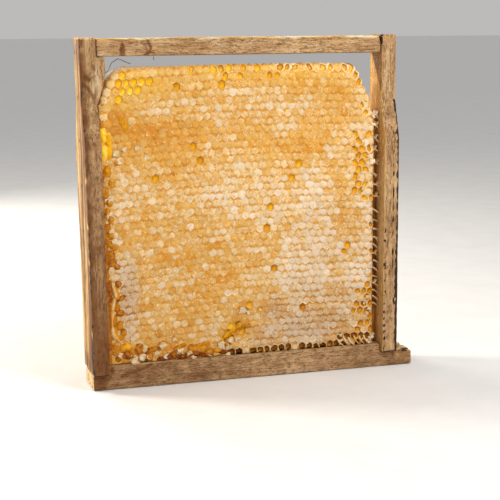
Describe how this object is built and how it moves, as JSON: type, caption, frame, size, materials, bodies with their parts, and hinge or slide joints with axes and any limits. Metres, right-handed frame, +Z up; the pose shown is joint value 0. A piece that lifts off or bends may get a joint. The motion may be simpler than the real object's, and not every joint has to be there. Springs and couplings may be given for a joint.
{
  "type": "honeycomb in a wooden hive frame",
  "caption": "Honeycomb, mostly capped, in its small wooden hive frame, which stands upside down on the long bar that hangs in the hive",
  "frame": {"origin": "underside of the bottom bar, midway between the outer faces of the side bars' tops and midway between front and back", "axes": "+X to the right along the frame, +Y from the front to the back, +Z up"},
  "size_m": [0.2276, 0.0362, 0.2282],
  "materials": {
    "frame_wood": "bare sawn beech, stained with propolis and wear along the edges",
    "comb_wax": "beeswax cells, capped cream and amber, with wet honey in the open ones",
    "frame_wire": "dull thin steel wire"
  },
  "bodies": {
    "root": {"bottom_bar": "frame_wood", "side_bar_left": "frame_wood", "side_bar_right": "frame_wood", "top_rail": "frame_wood", "comb": "comb_wax", "wire_left": "frame_wire", "wire_under_rail": "frame_wire"}
  },
  "joints": []
}
